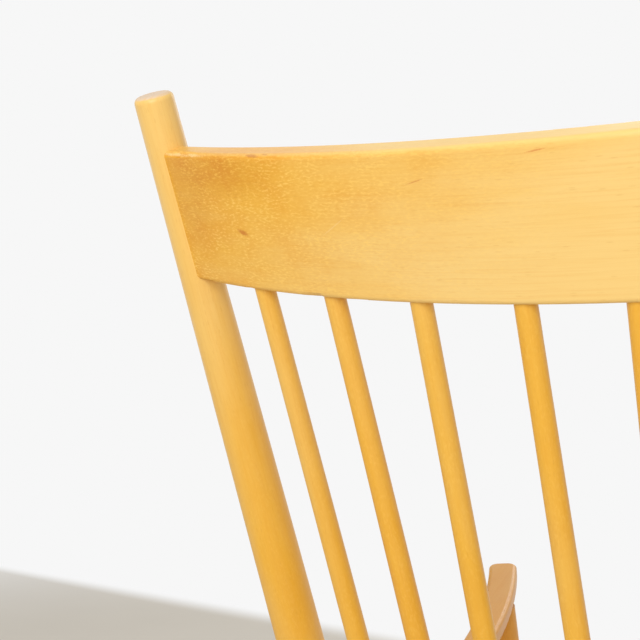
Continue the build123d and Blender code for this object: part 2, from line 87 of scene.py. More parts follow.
class NodeBench:
    """Adds nodes to one node tree and joins them."""

    def __init__(self, tree: bpy.types.NodeTree) -> None:
        """Works on one tree."""
        self.tree = tree

    def feed(self, sockets: object, values: dict | tuple) -> None:
        """Links inputs to other nodes' outputs, or sets their values.

        Args:
            sockets: a node's inputs.
            values: what feeds them, by name or number, or in order. Colours have three parts.
        """
        for name, value in values.items() if isinstance(values, dict) else enumerate(values):
            if isinstance(value, Socket):
                self.tree.links.new(value, sockets[name])
            else:
                colour = sockets[name].type == "RGBA"
                sockets[name].default_value = (*value, 1.0) if colour else value

    def add(self, kind: str, inputs: dict | tuple = (), **settings: object) -> bpy.types.Node:
        """Adds a node.

        Args:
            kind: the node's type.
            inputs: what feeds its inputs.
            settings: the node's own settings.

        Returns:
            The new node.
        """
        node = self.tree.nodes.new(kind)
        for name, value in settings.items():
            setattr(node, name, value)
        self.feed(node.inputs, inputs)
        return node

    def math(self, operation: str, *values: object, clamp: bool = False) -> Socket:
        """What a Math node works out, kept from 0 to 1 if it is to be clamped."""
        node = self.add("ShaderNodeMath", values, operation=operation, use_clamp=clamp)
        return node.outputs[0]

    def times(self, first: Socket, second: object) -> Socket:
        """The product of two values."""
        return self.math("MULTIPLY", first, second)

    def vector(self, operation: str, *values: object, out: str = "Vector") -> Socket:
        """What a Vector Math node works out, read from one of its outputs."""
        node = self.add("ShaderNodeVectorMath", values, operation=operation)
        return node.outputs[out]

    def stretched(self, vector: Socket, scale: Triple) -> Socket:
        """A vector times a scale for each of its parts."""
        return self.vector("MULTIPLY", vector, scale)

    def dot(self, first: Socket, second: object) -> Socket:
        """The dot product of two vectors."""
        return self.vector("DOT_PRODUCT", first, second, out="Value")

    def length(self, vector: Socket) -> Socket:
        """A vector's length."""
        return self.vector("LENGTH", vector, out="Value")

    def parts(self, vector: Socket) -> bpy.types.NodeOutputs:
        """A vector's three parts."""
        return self.add("ShaderNodeSeparateXYZ", (vector,)).outputs

    def place(self) -> Socket:
        """Object coordinates."""
        return self.add("ShaderNodeTexCoord").outputs["Object"]

    def place_in(self, origin: Vector, x_dir: Vector, z_hint: Vector) -> Socket:
        """Object coordinates in a frame of the piece's own.

        Args:
            origin: where the frame stands.
            x_dir: its X direction.
            z_hint: a direction near its Z direction.

        Returns:
            The coordinates, in metres.
        """
        x_axis = x_dir.normalized()
        y_axis = z_hint.cross(x_axis).normalized()
        turn = Matrix((x_axis, y_axis, x_axis.cross(y_axis))).transposed()
        back = (Matrix.Translation(origin) @ turn.to_4x4()).inverted()
        inputs = (self.place(), back.to_translation(), back.to_euler("XYZ"))
        return self.add("ShaderNodeMapping", inputs, vector_type="POINT").outputs["Vector"]

    def facing(self, direction: Vector) -> Socket:
        """How squarely the surface faces a direction, from -1 to 1."""
        normal = self.add("ShaderNodeNewGeometry").outputs["Normal"]
        return self.dot(normal, direction.normalized())

    def step(
        self, value: Socket, low: float, high: float, first: float = 0.0, last: float = 1.0
    ) -> Socket:
        """A smooth step from first to last, while the value goes from low to high."""
        inputs = (value, low, high, first, last)
        return self.add("ShaderNodeMapRange", inputs, interpolation_type="SMOOTHSTEP").outputs[0]

    def noise(self, place: Socket, scale: float, detail: float = 2.0, rough: float = 0.5) -> Socket:
        """Noise from 0 to 1, with its scale, its octaves and how strong the fine ones are."""
        inputs = {"Vector": place, "Scale": scale, "Detail": detail, "Roughness": rough}
        return self.add("ShaderNodeTexNoise", inputs).outputs["Fac"]

    def grained(self, place: Socket, grit: Grit, detail: float = 2.0, rough: float = 0.5) -> Socket:
        """Noise from 0 to 1 that is as fine as a grit."""
        return self.noise(self.stretched(place, grit.scale()), 1.0, detail, rough)

    def mix(self, share: object, first: object, second: object, blend: str = "MIX") -> Socket:
        """A mix of two colours, with a share of the second."""
        inputs = {0: share, 6: first, 7: second}
        return self.add("ShaderNodeMix", inputs, data_type="RGBA", blend_type=blend).outputs[2]

    def layers(self, colour: object, *layers: tuple[Socket, float, Triple]) -> Socket:
        """A colour with others laid over it.

        Args:
            colour: the lowest colour.
            layers: where each further colour shows, how strongly, and that colour.

        Returns:
            The mixed colour.
        """
        for share, strength, over in layers:
            colour = self.mix(self.times(share, strength), colour, over)
        return colour

    def relief(self, strength: float, distance: float, height: Socket) -> Socket:
        """A normal that follows a height, of which 1 is a distance in metres."""
        inputs = {"Strength": strength, "Distance": distance, "Height": height}
        return self.add("ShaderNodeBump", inputs).outputs["Normal"]


class MaterialBench(NodeBench):
    """The node tree of a new material."""

    def __init__(self, name: str) -> None:
        """Makes the material.

        Args:
            name: its name.
        """
        self.material = bpy.data.materials.new(name)
        self.material.use_nodes = True
        super().__init__(self.material.node_tree)
        self.surface = self.tree.nodes["Principled BSDF"]


@dataclass(frozen=True)
class StraightGrain:
    """Grain along a straight piece, with the growth rings' middle beside it."""

    origin: Vector
    along: Vector
    face: Vector = Vector((0.31, 0.52, 0.79))
    end_from: float = 0.55
    end_to: float = 0.88

    def coordinates(self, bench: NodeBench) -> tuple[Socket, Socket]:
        """The wood's own coordinates and how much of a face is end grain.

        Args:
            bench: the tree that gets the nodes.

        Returns:
            Coordinates (along, across, deep), in metres, and end grain from 0 to 1.
        """
        grain = bench.place_in(self.origin, self.along, self.face)
        squarely = bench.math("ABSOLUTE", bench.facing(self.along))
        return grain, bench.step(squarely, self.end_from, self.end_to)


@dataclass(frozen=True)
class BentGrain:
    """Grain that follows a board bent to an arc."""

    centre: Vector
    to_middle: Vector
    arc_axis: Vector
    radius: float

    def coordinates(self, bench: NodeBench) -> tuple[Socket, float]:
        """The wood's own coordinates and how much of a face is end grain.

        Args:
            bench: the tree that gets the nodes.

        Returns:
            Coordinates (along the arc, across, deep), in metres, and no end grain.
        """
        flat = bench.place_in(self.centre, self.to_middle, self.arc_axis)
        parts = bench.parts(flat)
        along = bench.times(bench.math("ARCTAN2", parts[1], parts[0]), self.radius)
        reach = bench.length(bench.stretched(flat, (1.0, 1.0, 0.0)))
        deep = bench.math("SUBTRACT", reach, self.radius)
        return bench.add("ShaderNodeCombineXYZ", (along, parts[2], deep)).outputs[0], 0.0


@dataclass(frozen=True)
class Mark:
    """A ragged mark on one piece, with its length and width in millimetres. Besides marks of use,
    marks also paint a highlight and shade.
    """

    place: Vector
    along: Vector
    length: float
    width: float
    colour: Triple
    strength: float
    blend: str = "MIX"
    grit: float = 900.0
    ragged: float = 0.9
    inner: float = 0.75
    outer: float = 1.5

    def share(self, bench: NodeBench) -> Socket:
        """How much of the mark shows at a point.

        Args:
            bench: the tree that gets the nodes.

        Returns:
            The share, from 0 to 1.
        """
        near = bench.place_in(self.place, self.along, Vector((0.1, 1.0, 0.2)))
        halves = (size * MM / 2 for size in (self.length, self.width, self.width))
        distance = bench.length(bench.stretched(near, tuple(1 / half for half in halves)))
        edge = bench.math("MULTIPLY_ADD", bench.noise(near, self.grit), self.ragged, distance)
        return bench.times(bench.step(edge, self.inner, self.outer, 1.0, 0.0), self.strength)


@dataclass(frozen=True)
class BeechTone:
    """The colours of lacquered beech."""

    honey: Triple = (0.83, 0.445, 0.045)
    pale: Triple = (0.86, 0.585, 0.200)
    amber: Triple = (0.73, 0.295, 0.006)
    ring: Triple = (0.70, 0.340, 0.045)
    fleck: Triple = (0.97, 0.640, 0.150)
    pore: Triple = (0.60, 0.250, 0.020)
    end: Triple = (0.73, 0.565, 0.410)
    # Paler colour painted on faces that look up, as light from above.
    pale_patch: Triple = (0.93, 0.670, 0.240)


@dataclass(frozen=True)
class BeechPattern:
    """The parts of the figure of beech, with the sizes of its growth rings in metres."""

    drift: Grit = Grit(5.0, 26.0, 0.22)
    cloud: Grit = Grit(26.0, 34.0, 0.55)
    fibre: Grit = Grit(24.0, 850.0, 0.19)
    streak: Grit = Grit(9.0, 210.0, 0.10)
    wave: Grit = Grit(170.0, 150.0, 1.6)
    ray: Grit = Grit(290.0, 860.0, 0.58)
    patch: Grit = Grit(40.0, 60.0)
    pore: Grit = Grit(130.0, 680.0, 0.16)
    end: Grit = Grit(60.0, 1500.0, 0.30)
    shade: float = 0.26
    ring: float = 0.04
    ring_line: float = 0.03
    end_ring: float = 0.25
    ring_width: float = 0.0041
    ring_bend: float = 0.016
    ring_taper: float = 0.03
    roughness: float = 0.34


@dataclass(frozen=True)
class Cut:
    """How one piece was cut from its board, what use has done to it, and the light and shade
    painted on it.

    The tone is amber below 0, honey at 0 and pale at 1, and never under darkest. It changes by a
    fade per metre along, across and deep; on the crest rail, the posts and the spindles that fade
    paints shade and light along with the wood's own tone.
    """

    pith: Triple
    tone: float = 0.35
    darkest: float = -1.0
    flecks: float = 0.25
    fade: Triple = (0.0, 0.0, 0.0)
    tint: Triple = WHITE
    # Faces that look this way get a paler colour: painted light from above.
    pale_patch: Vector | None = None
    marks: tuple[Mark, ...] = ()


class BeechFigure:
    """The node group that draws the figure of beech: rings, fibres and ray flecks."""

    def __init__(self, tone: BeechTone, pattern: BeechPattern) -> None:
        """Makes the group.

        Args:
            tone: the wood's colours.
            pattern: the parts of its figure.
        """
        self.tone = tone
        self.pattern = pattern
        self.group = bpy.data.node_groups.new("beech_figure", "ShaderNodeTree")
        self._sockets("INPUT", "Vector", "Grain", "Pith")
        self._sockets("INPUT", "Float", "Tone", "Flecks", "End")
        self._sockets("OUTPUT", "Color", "Color")
        self._sockets("OUTPUT", "Float", "Roughness", "Height")
        self.bench = NodeBench(self.group)
        self.given = self.bench.add("NodeGroupInput").outputs
        self._draw()

    def _sockets(self, way: str, kind: str, *names: str) -> None:
        """Adds the group's inputs or outputs of one kind."""
        for name in names:
            self.group.interface.new_socket(name=name, in_out=way, socket_type=f"NodeSocket{kind}")

    def _draw(self) -> None:
        """Adds the group's nodes."""
        bench, tone, look, given = self.bench, self.tone, self.pattern, self.given
        grain = given["Grain"]
        drift = bench.grained(grain, look.drift, 3.0)
        cloud = bench.grained(grain, look.cloud, 3.0, 0.6)
        fibre = bench.grained(grain, look.fibre, 3.0, 0.6)
        streak = bench.grained(grain, look.streak)
        rings, lines = self._rings(drift)
        dots = self._pores()

        wander = bench.step(drift, 0.30, 0.70, -look.drift.strength, look.drift.strength)
        level = bench.math("ADD", given["Tone"], wander)
        deep, share = (
            bench.times(bench.math("SUBTRACT", palest, given["Tone"], clamp=True), given["Flecks"])
            for palest in (0.95, 1.15)
        )
        patches = bench.times(bench.step(cloud, 0.40, 0.70, 0.0, look.cloud.strength), deep)
        patches = bench.math("SUBTRACT", patches, bench.math("MINIMUM", level, 0.0), clamp=True)
        ray, shade = (bench.times(part, share) for part in self._rays())
        colour = bench.layers(
            bench.mix(level, tone.honey, tone.pale),
            (patches, 1.0, tone.amber),
            (bench.step(streak, 0.58, 0.76), look.streak.strength, tone.amber),
            (rings, look.ring, tone.ring),
            (lines, look.ring_line, tone.ring),
            (bench.step(fibre, 0.45, 0.80), look.fibre.strength, tone.amber),
            (shade, look.shade, tone.amber),
            (ray, look.ray.strength, tone.fleck),
            (dots, look.pore.strength, tone.pore),
        )
        colour = bench.mix(given["End"], colour, self._end(rings))

        rough = look.roughness
        for part, rougher in ((fibre, 0.10), (streak, 0.06), (given["End"], 0.12)):
            rough = bench.math("MULTIPLY_ADD", part, rougher, rough)
        height = bench.times(ray, 0.30)
        for part, higher in ((fibre, 0.35), (dots, -0.50)):
            height = bench.math("MULTIPLY_ADD", part, higher, height)
        bench.add("NodeGroupOutput", {"Color": colour, "Roughness": rough, "Height": height})

    def _rings(self, drift: Socket) -> tuple[Socket, Socket]:
        """Growth rings round the pith.

        Args:
            drift: slow noise that bends the rings.

        Returns:
            How far each ring has darkened, and its thin dark line.
        """
        bench, look = self.bench, self.pattern
        level = bench.vector("SUBTRACT", self.given["Grain"], self.given["Pith"])
        reach = bench.length(bench.stretched(level, (look.ring_taper, 1.0, 1.0)))
        bent = bench.math("MULTIPLY_ADD", drift, look.ring_bend, reach)
        phase = bench.math("FRACT", bench.math("DIVIDE", bent, look.ring_width))
        return bench.step(phase, 0.15, 0.95), bench.step(phase, 0.80, 0.97)

    def _rays(self) -> tuple[Socket, Socket]:
        """Wavy ray flecks that lie along the grain, and the darker wood between them.

        Returns:
            How strong the flecks are, and how strong the darker wood is.
        """
        bench, look, grain = self.bench, self.pattern, self.given["Grain"]
        wave = bench.grained(grain, look.wave)
        sway = (3.1, bench.times(wave, look.wave.strength), wave)
        sway = bench.add("ShaderNodeCombineXYZ", sway).outputs[0]
        place = bench.vector("ADD", bench.stretched(grain, look.ray.scale()), sway)
        ripple = bench.noise(place, 1.0, 1.5, 0.55)
        shown = bench.step(bench.grained(grain, look.patch), 0.30, 0.60, 0.4, 1.0)
        ray = bench.times(bench.step(ripple, 0.53, 0.65), shown)
        return ray, bench.times(bench.step(ripple, 0.34, 0.47, 1.0, 0.0), shown)

    def _pores(self) -> Socket:
        """Sparse, short dark pores.

        Returns:
            How strong the pores are.
        """
        place = self.bench.stretched(self.given["Grain"], self.pattern.pore.scale())
        inputs = {"Vector": place, "Scale": 1.0, "Randomness": 1.0}
        cell = self.bench.add("ShaderNodeTexVoronoi", inputs).outputs
        chance = self.bench.add("ShaderNodeSeparateColor", (cell["Color"],)).outputs[0]
        dot = self.bench.step(cell["Distance"], 0.14, 0.36, 1.0, 0.0)
        return self.bench.times(dot, self.bench.step(chance, 0.74, 0.92))

    def _end(self, rings: Socket) -> Socket:
        """The paler, finely dotted end grain, with rings as far as they have darkened."""
        dots = self.bench.step(self.bench.grained(self.given["Grain"], self.pattern.end), 0.5, 0.8)
        return self.bench.layers(
            self.tone.end,
            (rings, self.pattern.end_ring, self.tone.honey),
            (dots, self.pattern.end.strength, self.tone.ring),
        )


@dataclass(frozen=True)
class Lacquer:
    """Clear satin lacquer, and a paler colour painted on faces that look up, as light from above.
    """

    specular: float = 0.36
    coat: float = 0.12
    coat_roughness: float = 0.20
    relief: float = 0.10
    relief_depth: float = 0.22 * MM
    # How squarely a face must look up before the painted top light starts, and its largest share.
    top_light_from: float = 0.50
    top_light_share: float = 0.48


@dataclass
class BeechFinish:
    """Dresses pieces in lacquered beech, each from its own part of one board."""

    figure: BeechFigure
    lacquer: Lacquer = Lacquer()
    spacing: float = 0.713
    made: int = 0

    def dress(self, node: str, grain: StraightGrain | BentGrain, cut: Cut) -> None:
        """Gives a piece of the frame its beech.

        Args:
            node: the piece's name.
            grain: how its grain runs.
            cut: how it was cut.
        """
        self.made += 1
        bench, lacquer = MaterialBench(f"beech_{node}"), self.lacquer
        where, end = grain.coordinates(bench)
        tone = bench.math("ADD", bench.dot(where, cut.fade), cut.tone)
        offset = (self.spacing * self.made, 0.0, 0.0)
        inputs = {
            "Grain": bench.vector("ADD", where, offset),
            "Pith": Vector(cut.pith) + Vector(offset),
            "Tone": bench.math("MAXIMUM", tone, cut.darkest),
            "Flecks": cut.flecks,
            "End": end,
        }
        figure = bench.add("ShaderNodeGroup", node_tree=self.figure.group)
        bench.feed(figure.inputs, inputs)
        colour = bench.mix(1.0, figure.outputs["Color"], cut.tint, "MULTIPLY")
        # Faces that look up get a paler colour: painted light from above.
        if cut.pale_patch is not None:
            facing = bench.facing(cut.pale_patch)
            share = bench.step(facing, lacquer.top_light_from, 1.0, 0.0, lacquer.top_light_share)
            colour = bench.mix(share, colour, self.figure.tone.pale_patch)
        for mark in cut.marks:
            colour = bench.mix(mark.share(bench), colour, mark.colour, mark.blend)
        height = figure.outputs["Height"]
        inputs = {
            "Base Color": colour,
            "Roughness": figure.outputs["Roughness"],
            "Specular IOR Level": lacquer.specular,
            "Coat Weight": lacquer.coat,
            "Coat Roughness": lacquer.coat_roughness,
            "Normal": bench.relief(lacquer.relief, lacquer.relief_depth, height),
        }
        bench.feed(bench.surface.inputs, inputs)
        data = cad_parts[node].data
        data.materials.clear()
        data.materials.append(bench.material)
        log.info("%s: lacquered beech", node)


@dataclass(frozen=True)
class PaperCordFinish:
    """Laid paper cord, three strands twisted together."""

    kraft: Triple = (0.84, 0.62, 0.33)
    pale_patch: Triple = (0.90, 0.70, 0.42)
    shade: Triple = (0.50, 0.32, 0.13)
    strand: float = 3.9 * MM
    slant: float = 1.5
    spread: float = 7.0

    def material(self) -> bpy.types.Material:
        """Makes the cord's material, which reads the weave's own map.

        Returns:
            The material.
        """
        bench = MaterialBench("paper_cord")
        run, lane = bench.parts(bench.add("ShaderNodeUVMap", uv_map="cord").outputs["UV"])[:2]
        number = {"W": bench.math("FLOOR", lane)}
        own = bench.add("ShaderNodeTexWhiteNoise", number, noise_dimensions="1D").outputs["Value"]
        across = bench.math("FRACT", lane)
        turns = bench.math("DIVIDE", run, self.strand)
        turns = bench.math("MULTIPLY_ADD", across, self.slant, turns)
        turns = bench.math("FRACT", bench.math("MULTIPLY_ADD", own, self.spread, turns))
        ply, rim = (
            bench.math("ABSOLUTE", bench.math("SUBTRACT", part, 0.5)) for part in (turns, across)
        )
        groove = bench.step(ply, 0.26, 0.50)
        place = bench.place()
        fibre = bench.noise(place, 1400.0, 3.0, 0.6)
        colour = bench.layers(
            self.kraft,
            (bench.step(bench.noise(place, 14.0, 3.0), 0.35, 0.70), 1.0, self.pale_patch),
            (bench.step(own, 0.0, 1.0), 0.16, self.shade),
            (bench.step(fibre, 0.45, 0.80), 0.30, self.shade),
            # Painted shade in the grooves between strands and along each cord's edges.
            (groove, 0.55, self.shade),
            (bench.step(rim, 0.30, 0.50), 0.60, self.shade),
        )
        height = bench.math("MULTIPLY_ADD", groove, -1.0, bench.times(fibre, 0.25))
        inputs = {
            "Base Color": colour,
            "Roughness": bench.step(fibre, 0.2, 0.8, 0.62, 0.80),
            "Specular IOR Level": 0.35,
            "Normal": bench.relief(0.8, 0.6 * MM, height),
        }
        bench.feed(bench.surface.inputs, inputs)
        return bench.material


@dataclass(frozen=True)
class KraftCardFinish:
    """The brown card that fills the seat between its two layers of cord."""

    card: Triple = (0.52, 0.36, 0.18)
    furrow: float = 0.55
    ridges: Grit = Grit(40.0, 600.0)

    def material(self) -> bpy.types.Material:
        """Makes the card's material.

        Returns:
            The material.
        """
        bench = MaterialBench("kraft_card")
        ridges = bench.grained(bench.place(), self.ridges, 3.0)
        inputs = {
            "Base Color": bench.mix(ridges, self.card, tuple(self.furrow * x for x in self.card)),
            "Roughness": 0.9,
            "Normal": bench.relief(0.5, 0.5 * MM, ridges),
        }
        bench.feed(bench.surface.inputs, inputs)
        return bench.material


@dataclass
class CloseUpCamera:
    """The camera behind the chair, close to the crest rail."""

    place: Vector = Vector((-0.26222, 0.95884, 0.92890))
    yaw: float = 0.5748
    pitch: float = 0.0131
    lens: float = 66.605
    sensor: float = 36.0
    nearest: float = 0.05
    farthest: float = 50.0

    def build(self) -> None:
        """Makes the camera and looks through it."""
        level = Vector((math.sin(self.yaw), -math.cos(self.yaw), 0.0))
        up = Vector((0.0, 0.0, 1.0))
        ahead = level * math.cos(self.pitch) - up * math.sin(self.pitch)
        over = up * math.cos(self.pitch) + level * math.sin(self.pitch)
        data = bpy.data.cameras.new("close_up")
        data.lens = self.lens
        data.sensor_width = self.sensor
        data.clip_start = self.nearest
        data.clip_end = self.farthest
        camera = add_object("close_up", data)
        turn = Matrix((ahead.cross(over), over, -ahead)).transposed()
        camera.matrix_world = Matrix.Translation(self.place) @ turn.to_4x4()
        bpy.context.scene.camera = camera


@dataclass(frozen=True)
class SoftLamp:
    """A square lamp with a side in metres and a power in watts."""

    name: str
    place: Vector
    aim: Vector
    side: float
    power: float

    def build(self) -> None:
        """Makes the lamp."""
        data = bpy.data.lights.new(self.name, "AREA")
        data.size = self.side
        data.energy = self.power
        turn = (self.aim - self.place).to_track_quat("-Z", "Y").to_matrix().to_4x4()
        add_object(self.name, data).matrix_world = Matrix.Translation(self.place) @ turn


@dataclass
class Studio:
    """A pale floor in front of a white wall, with soft light."""

    paper: float = 0.93
    ambient: float = 0.64
    floor_half: float = 9.0
    floor_colour: Triple = (0.69, 0.635, 0.545)
    floor_cloud: float = 0.95
    floor_middle: Triple = (0.9, -0.6, 0.0)
    floor_near: float = 1.5
    floor_far: float = 3.7
    wall_y: float = -1.89
    wall_blend: float = 0.07
    lamps: tuple[SoftLamp, ...] = (
        SoftLamp("window", Vector((-0.5, 2.7, 1.8)), Vector((0.0, 0.1, 0.75)), 1.4, 47.0),
        SoftLamp("front", Vector((0.4, -2.8, 2.2)), Vector((0.0, 0.0, 0.6)), 1.6, 17.0),
    )

    def build(self) -> None:
        """Makes the room and its lamps."""
        bpy.context.scene.view_settings.view_transform = "Standard"
        self._world()
        self._floor()
        for lamp in self.lamps:
            lamp.build()

    def _seen(self, bench: NodeBench) -> Socket:
        """Whether a ray shows the room itself and doesn't light the chair.

        Args:
            bench: the tree that gets the nodes.

        Returns:
            1 if it does, or 0.
        """
        rays = bench.add("ShaderNodeLightPath").outputs
        seen = bench.math("MAXIMUM", rays["Is Camera Ray"], rays["Is Glossy Ray"])
        return bench.math("MAXIMUM", seen, rays["Is Transmission Ray"])

    def _world(self) -> None:
        """Makes the white surroundings."""
        world = bpy.data.worlds.new("white_room")
        bpy.context.scene.world = world
        world.use_nodes = True
        bench = NodeBench(world.node_tree)
        strength = bench.step(self._seen(bench), 0.0, 1.0, self.ambient, self.paper)
        background = world.node_tree.nodes["Background"].inputs
        bench.feed(background, {"Strength": strength, "Color": WHITE})

    def _floor(self) -> None:
        """Makes the floor, which fades into the wall and the distance."""
        mesh = bpy.data.meshes.new("floor")
        shape = bmesh.new()
        bmesh.ops.create_grid(shape, x_segments=1, y_segments=1, size=self.floor_half)
        shape.to_mesh(mesh)
        shape.free()
        floor = add_object("floor", mesh)
        bench = MaterialBench("pale_floor")
        place = bench.place()
        start, end = self.wall_y - self.wall_blend, self.wall_y + self.wall_blend
        wall = bench.step(bench.parts(place)[1], start, end, 1.0, 0.0)
        aside = bench.length(bench.vector("SUBTRACT", place, self.floor_middle))
        far = bench.step(aside, self.floor_near, self.floor_far)
        away = bench.times(bench.math("MAXIMUM", wall, far), self._seen(bench))
        darker = tuple(self.floor_cloud * part for part in self.floor_colour)
        colour = bench.mix(bench.noise(place, 5.0, 4.0), self.floor_colour, darker)
        bench.feed(bench.surface.inputs, {"Base Color": colour, "Roughness": 0.6})
        paper = bench.add("ShaderNodeEmission", {"Color": WHITE, "Strength": self.paper})
        inputs = (away, bench.surface.outputs[0], paper.outputs[0])
        mixed = bench.add("ShaderNodeMixShader", inputs).outputs[0]
        bench.feed(bench.tree.nodes["Material Output"].inputs, {"Surface": mixed})
        mesh.materials.append(bench.material)


def axis_of(node: str, rounds: int = 30, sample: int = 600) -> tuple[Vector, Vector]:
    """The middle and the long direction of a straight piece.

    Args:
        node: the piece's name.
        rounds: how often the direction is improved.
        sample: about how many of its vertices count.

    Returns:
        Its middle and its direction.
    """
    points = [vertex.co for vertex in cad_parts[node].data.vertices]
    low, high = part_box(node)
    middle, along = (low + high) / 2, high - low
    for _ in range(rounds):
        pull = Vector((0.0, 0.0, 0.0))
        for point in points[:: max(1, len(points) // sample)]:
            pull += (point - middle) * (point - middle).dot(along)
        along = pull.normalized()
    return middle, along


def pith_beside(distance: float, turn: float) -> Triple:
    """The rings' middle at a distance beside a piece, turned round it."""
    return 0.0, distance * math.cos(turn), distance * math.sin(turn)


@dataclass(frozen=True)
class WearAndLightTone:
    """The colours of the marks on the crest rail: marks of use, a painted highlight, painted shade
    and a darker top face.
    """

    # Painted highlight along the rear top arris.
    painted_arris_highlight: Triple = (0.97, 0.80, 0.46)
    spot: Triple = (0.60, 0.20, 0.015)
    scuff: Triple = (0.48, 0.17, 0.05)
    scratch: Triple = (0.62, 0.22, 0.05)
    red_scratch: Triple = (0.66, 0.22, 0.05)
    pale_scratch: Triple = (0.88, 0.62, 0.30)
    # A darker, more orange colour for the top face.
    darker_top_face: Triple = (0.95, 0.66, 0.38)
    # Amber for the left end: partly the wood's own tone, partly painted shade.
    amber_tone_and_shade: Triple = (0.84, 0.70, 0.18)


@dataclass
class Back:
    """Two posts, the crest rail, the lower rail and the spindles."""

    beech: BeechFinish
    lean: float = math.radians(23.07)
    origin: Vector = Vector((0.0, 0.3555, 0.92775))
    crest_radius: float = 0.7282
    crest_middle: float = 0.00975
    lower_radius: float = 0.5798
    lower_middle: float = -0.005
    wear_and_light: WearAndLightTone = WearAndLightTone()
    spindle_tones: tuple[float, ...] = (0.15, -0.10, 0.04, 0.10, 0.02, 0.10, 0.00)

    def behind(self) -> Vector:
        """Rearward, at right angles to the back."""
        return Vector((0.0, math.cos(self.lean), -math.sin(self.lean)))

    def up(self) -> Vector:
        """Up along the leaning back."""
        return Vector((0.0, math.sin(self.lean), math.cos(self.lean)))

    def on_crest(self, across: float, up: float) -> Vector:
        """A point of the crest rail's rear face.

        Args:
            across: its distance from the middle, towards the sitter's left.
            up: its height over the rail's bottom edge.

        Returns:
            The point.
        """
        radius = self.crest_radius + self.crest_middle
        ahead = radius - math.sqrt(radius**2 - across**2)
        return self.origin + Vector((across, 0.0, 0.0)) - self.behind() * ahead + self.up() * up

    def build(self) -> None:
        """Dresses the back's pieces."""
        self._rails()
        self._posts()
        self._spindles()

    def _bent(self, radius: float, middle: float) -> BentGrain:
        """The grain of a rail whose middle lies behind the back's plane."""
        centre = self.origin - self.behind() * (middle + radius)
        return BentGrain(centre, self.behind(), self.up(), radius)

    def _rails(self) -> None:
        """Dresses the two bent rails."""
        mark, wear_and_light = self._crest_mark, self.wear_and_light
        marks = (
            # A painted highlight along the rear top arris at the left end.
            mark((238.0, 91.0, 0.9), (1.0, 0.0), 60.0, 3.2, wear_and_light.painted_arris_highlight, 0.6),
            mark((192.3, 40.5, 0.0), (1.0, 0.3), 13.0, 4.6, wear_and_light.spot, 0.9),
            mark((168.0, 91.4, 1.1), (1.0, 0.1), 17.0, 3.0, wear_and_light.scuff, 0.6),
            mark((156.0, 91.8, 1.8), (1.0, 0.2), 10.0, 1.6, wear_and_light.scuff, 0.5),
            mark((48.8, 74.0, 0.0), (-1.0, 0.25), 15.0, 1.1, wear_and_light.scratch, 0.6),
            mark((-24.4, 86.9, 0.0), (-1.0, 0.12), 14.0, 1.3, wear_and_light.red_scratch, 0.7),
            mark((113.0, 47.0, 0.0), (-1.0, 0.6), 30.0, 0.7, wear_and_light.pale_scratch, 0.45),
            # Darkens the top face towards orange, in a long band.
            mark((165.0, 96.0, 9.0), (1.0, 0.0), 220.0, 28.0, wear_and_light.darker_top_face, 0.5, "MULTIPLY"),
            # Amber over the left end: partly the wood's own tone, partly painted shade.
            mark((244.0, 64.0, 0.0), None, 64.0, 80.0, wear_and_light.amber_tone_and_shade, 0.55, "MULTIPLY"),
            mark((200.0, 78.0, 0.0), None, 150.0, 40.0, wear_and_light.amber_tone_and_shade, 0.60, "MULTIPLY"),
        )
        # The direction of the painted top light: up, tipped a little rearward.
        pale_patch = self.behind() * 0.15 + self.up()
        # Paler towards the sitter's right end and towards the bottom edge: partly the wood's own
        # tone, partly painted light for the sheen at that end and the light from the floor.
        pith, fade = (0.0, -0.12, -0.03), (3.6, -4.0, 0.0)
        cut = Cut(pith, tone=1.1, flecks=1.0, fade=fade, pale_patch=pale_patch, marks=marks)
        self.beech.dress("crest_rail", self._bent(self.crest_radius, self.crest_middle), cut)
        cut = Cut((0.0, 0.42, 0.08), tone=0.4, flecks=0.5)
        self.beech.dress("lower_back_rail", self._bent(self.lower_radius, self.lower_middle), cut)

    def _crest_mark(self, place: Triple, along: Pair | None, *look: object) -> Mark:
        """A mark on the crest rail.

        Args:
            place: across, up, and ahead of the rear face, in millimetres.
            along: the mark's direction, across and up, or None for the chair's own X.
            look: its length, width, colour, strength and blend, as a Mark has them.

        Returns:
            The mark.
        """
        across, up, ahead = place
        spot = self.on_crest(across * MM, up * MM)
        direction = Vector((1.0, 0.0, 0.0))
        if along:
            direction = self.on_crest((across + along[0]) * MM, (up + along[1]) * MM) - spot
        return Mark(spot - self.behind() * ahead * MM, direction, *look)

    def _posts(self) -> None:
        """Dresses the two posts."""
        for side, pith in (("left", (0.0, 0.055, 0.075)), ("right", (0.0, -0.08, 0.05))):
            node = f"back_post_{side}"
            # The tone darkens towards each post's lower end: painted shade, as less light reaches
            # it there.
            cut = Cut(pith, tone=-0.20, darkest=-0.18, flecks=0.20, fade=(1.6, 0.0, 0.0))
            self.beech.dress(node, StraightGrain(*axis_of(node)), cut)

    def _spindles(self) -> None:
        """Dresses the spindles."""
        for number, tone in enumerate(self.spindle_tones, 1):
            node = f"spindle_{number}"
            shade = 0.97 - 0.012 * (number % 3)
            pith = pith_beside(0.05, 0.9 * number)
            # The tone darkens towards each spindle's lower end: partly the wood's own tone, partly
            # painted shade.
            cut = Cut(pith, tone=tone, fade=(0.7, 0.0, 0.0), tint=(0.97, shade, shade**2))
            self.beech.dress(node, StraightGrain(*axis_of(node)), cut)


